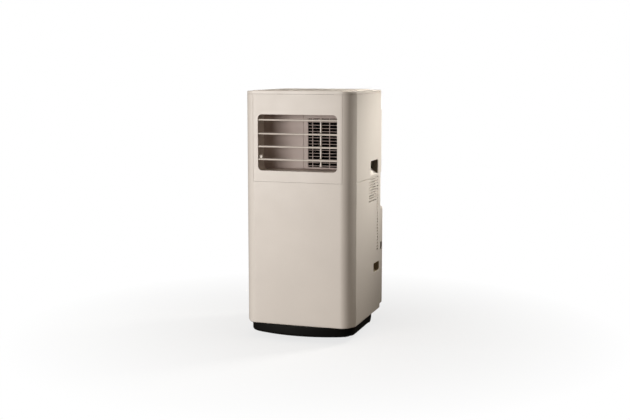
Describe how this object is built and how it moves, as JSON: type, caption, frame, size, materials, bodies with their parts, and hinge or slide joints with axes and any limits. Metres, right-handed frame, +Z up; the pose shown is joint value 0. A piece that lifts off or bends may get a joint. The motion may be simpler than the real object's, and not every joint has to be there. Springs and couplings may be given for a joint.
{
  "type": "portable air conditioner",
  "caption": "Upright portable air conditioner on swivel casters, with linked outlet louvers, touch keys, side grips, hinged rear filter cover and exhaust port.",
  "frame": {"origin": "on the floor, under the middle of the unit", "axes": "+Z up, -Y towards the room on the louvered front, +X to the right as the front is faced"},
  "size_m": [0.32, 0.358, 0.7],
  "materials": {
    "casing": "warm white moulded casing, fine satin gloss",
    "lid": "warm white top cover, satin",
    "louver": "warm white blades, satin",
    "duct": "grey-beige inner duct, matte",
    "recess": "dark recess liners, matte",
    "black_plastic": "black structural plastic, fine grain",
    "display": "smoked display window, polished",
    "button": "soft-touch key caps",
    "rubber": "moulded black rubber",
    "caster_tread": "black nylon caster wheels",
    "filter": "woven nylon filter mesh in a frame",
    "motor_steel": "plated steel motor and capacitor cans",
    "painted_steel": "black enamelled pressure vessels",
    "copper": "bare copper tube",
    "coil_fins": "plain aluminium fin stock",
    "inner_plastic": "light grey inner mouldings"
  },
  "bodies": {
    "unit": {"base_pan": "black_plastic", "front_casing": "casing", "outlet_fascia": "casing", "top_cover": "lid", "rear_casing_upper": "casing", "rear_casing_lower": "casing", "lower_intake_cover": "casing", "exhaust_port": "casing", "exhaust_grille": "black_plastic", "cord_recess": "recess", "cord_gland": "rubber", "handle_cup_left": "recess", "handle_cup_right": "recess", "outlet_grille": "duct", "outlet_duct": "duct", "control_panel": "black_plastic", "display_window": "display", "compressor": "painted_steel", "accumulator": "painted_steel", "condenser_coil": "coil_fins", "evaporator_coil": "coil_fins", "blower_motor": "motor_steel", "blower_housing": "inner_plastic", "partition_tray": "inner_plastic", "exhaust_fan_motor": "motor_steel", "exhaust_fan_housing": "inner_plastic", "exhaust_duct": "inner_plastic", "splash_motor": "motor_steel", "control_box": "inner_plastic", "run_capacitor": "motor_steel", "suction_pipe": "copper", "discharge_pipe": "copper"},
    "louver_1": {"louver_1": "louver"},
    "louver_2": {"louver_2": "louver"},
    "louver_3": {"louver_3": "louver"},
    "louver_4": {"louver_4": "louver"},
    "louver_link": {"louver_link": "louver"},
    "intake_cover": {"upper_intake_cover": "casing", "upper_filter": "filter"},
    "drain_plug_upper": {"drain_cap_upper": "rubber"},
    "drain_plug_lower": {"drain_cap_lower": "rubber"},
    "button_power": {"button_power": "button"},
    "button_mode": {"button_mode": "button"},
    "button_fan": {"button_fan": "button"},
    "button_timer": {"button_timer": "button"},
    "button_up": {"button_up": "button"},
    "button_down": {"button_down": "button"},
    "caster_1": {"caster_fork_1": "black_plastic"},
    "wheel_1": {"caster_wheel_1": "caster_tread"},
    "caster_2": {"caster_fork_2": "black_plastic"},
    "wheel_2": {"caster_wheel_2": "caster_tread"},
    "caster_3": {"caster_fork_3": "black_plastic"},
    "wheel_3": {"caster_wheel_3": "caster_tread"},
    "caster_4": {"caster_fork_4": "black_plastic"},
    "wheel_4": {"caster_wheel_4": "caster_tread"},
    "blower_wheel": {"blower_wheel": "black_plastic"},
    "exhaust_fan": {"exhaust_fan": "black_plastic"},
    "splash_wheel": {"splash_wheel": "inner_plastic"}
  },
  "joints": [
    {"name": "louver_1_swing", "type": "hinge", "parent": "unit", "child": "louver_1", "pos_m": [0, -0.15, 0.6186], "axis": [1, 0, 0], "range_deg": [-30, 30]},
    {"name": "louver_2_swing", "type": "hinge", "parent": "unit", "child": "louver_2", "pos_m": [0, -0.15, 0.5803], "axis": [1, 0, 0], "range_deg": [-30, 30]},
    {"name": "louver_3_swing", "type": "hinge", "parent": "unit", "child": "louver_3", "pos_m": [0, -0.15, 0.5447], "axis": [1, 0, 0], "range_deg": [-30, 30]},
    {"name": "louver_4_swing", "type": "hinge", "parent": "unit", "child": "louver_4", "pos_m": [0, -0.15, 0.509], "axis": [1, 0, 0], "range_deg": [-30, 30]},
    {"name": "louver_link_pivot", "type": "hinge", "parent": "louver_1", "child": "louver_link", "pos_m": [0.0585, -0.133, 0.6186], "axis": [1, 0, 0], "range_deg": [-30, 30]},
    {"name": "intake_cover_hinge", "type": "hinge", "parent": "unit", "child": "intake_cover", "pos_m": [0, 0.147, 0.454], "axis": [-1, 0, 0], "range_deg": [0, 75]},
    {"name": "drain_plug_upper_pull", "type": "slide", "parent": "unit", "child": "drain_plug_upper", "axis": [0, 1, 0], "range_m": [0, 0.02]},
    {"name": "drain_plug_lower_pull", "type": "slide", "parent": "unit", "child": "drain_plug_lower", "axis": [0, 1, 0], "range_m": [0, 0.02]},
    {"name": "button_power_press", "type": "slide", "parent": "unit", "child": "button_power", "axis": [0, 0, -1], "range_m": [0, 0.0008], "stiffness_N_per_m": 500},
    {"name": "button_mode_press", "type": "slide", "parent": "unit", "child": "button_mode", "axis": [0, 0, -1], "range_m": [0, 0.0008], "stiffness_N_per_m": 500},
    {"name": "button_fan_press", "type": "slide", "parent": "unit", "child": "button_fan", "axis": [0, 0, -1], "range_m": [0, 0.0008], "stiffness_N_per_m": 500},
    {"name": "button_timer_press", "type": "slide", "parent": "unit", "child": "button_timer", "axis": [0, 0, -1], "range_m": [0, 0.0008], "stiffness_N_per_m": 500},
    {"name": "button_up_press", "type": "slide", "parent": "unit", "child": "button_up", "axis": [0, 0, -1], "range_m": [0, 0.0008], "stiffness_N_per_m": 500},
    {"name": "button_down_press", "type": "slide", "parent": "unit", "child": "button_down", "axis": [0, 0, -1], "range_m": [0, 0.0008], "stiffness_N_per_m": 500},
    {"name": "caster_1_swivel", "type": "hinge", "parent": "unit", "child": "caster_1", "pos_m": [-0.108, -0.097, 0.04], "axis": [0, 0, 1], "continuous": true},
    {"name": "wheel_1_roll", "type": "hinge", "parent": "caster_1", "child": "wheel_1", "pos_m": [-0.108, -0.081, 0.018], "axis": [1, 0, 0], "continuous": true},
    {"name": "caster_2_swivel", "type": "hinge", "parent": "unit", "child": "caster_2", "pos_m": [0.108, -0.097, 0.04], "axis": [0, 0, 1], "continuous": true},
    {"name": "wheel_2_roll", "type": "hinge", "parent": "caster_2", "child": "wheel_2", "pos_m": [0.108, -0.081, 0.018], "axis": [1, 0, 0], "continuous": true},
    {"name": "caster_3_swivel", "type": "hinge", "parent": "unit", "child": "caster_3", "pos_m": [-0.124, 0.095, 0.04], "axis": [0, 0, 1], "continuous": true},
    {"name": "wheel_3_roll", "type": "hinge", "parent": "caster_3", "child": "wheel_3", "pos_m": [-0.124, 0.111, 0.018], "axis": [1, 0, 0], "continuous": true},
    {"name": "caster_4_swivel", "type": "hinge", "parent": "unit", "child": "caster_4", "pos_m": [0.124, 0.095, 0.04], "axis": [0, 0, 1], "continuous": true},
    {"name": "wheel_4_roll", "type": "hinge", "parent": "caster_4", "child": "wheel_4", "pos_m": [0.124, 0.111, 0.018], "axis": [1, 0, 0], "continuous": true},
    {"name": "blower_wheel_spin", "type": "hinge", "parent": "unit", "child": "blower_wheel", "pos_m": [-0.048, -0.019, 0.556], "axis": [0, 1, 0], "continuous": true},
    {"name": "exhaust_fan_spin", "type": "hinge", "parent": "unit", "child": "exhaust_fan", "pos_m": [0, -0.019, 0.228], "axis": [0, 1, 0], "continuous": true},
    {"name": "splash_wheel_spin", "type": "hinge", "parent": "unit", "child": "splash_wheel", "pos_m": [0.034, 0.075, 0.06], "axis": [0, 1, 0], "continuous": true}
  ],
  "couplings": [
    {"joint": "louver_2_swing", "follows": "louver_1_swing", "ratio": 1},
    {"joint": "louver_3_swing", "follows": "louver_1_swing", "ratio": 1},
    {"joint": "louver_4_swing", "follows": "louver_1_swing", "ratio": 1},
    {"joint": "louver_link_pivot", "follows": "louver_1_swing", "ratio": -1}
  ]
}
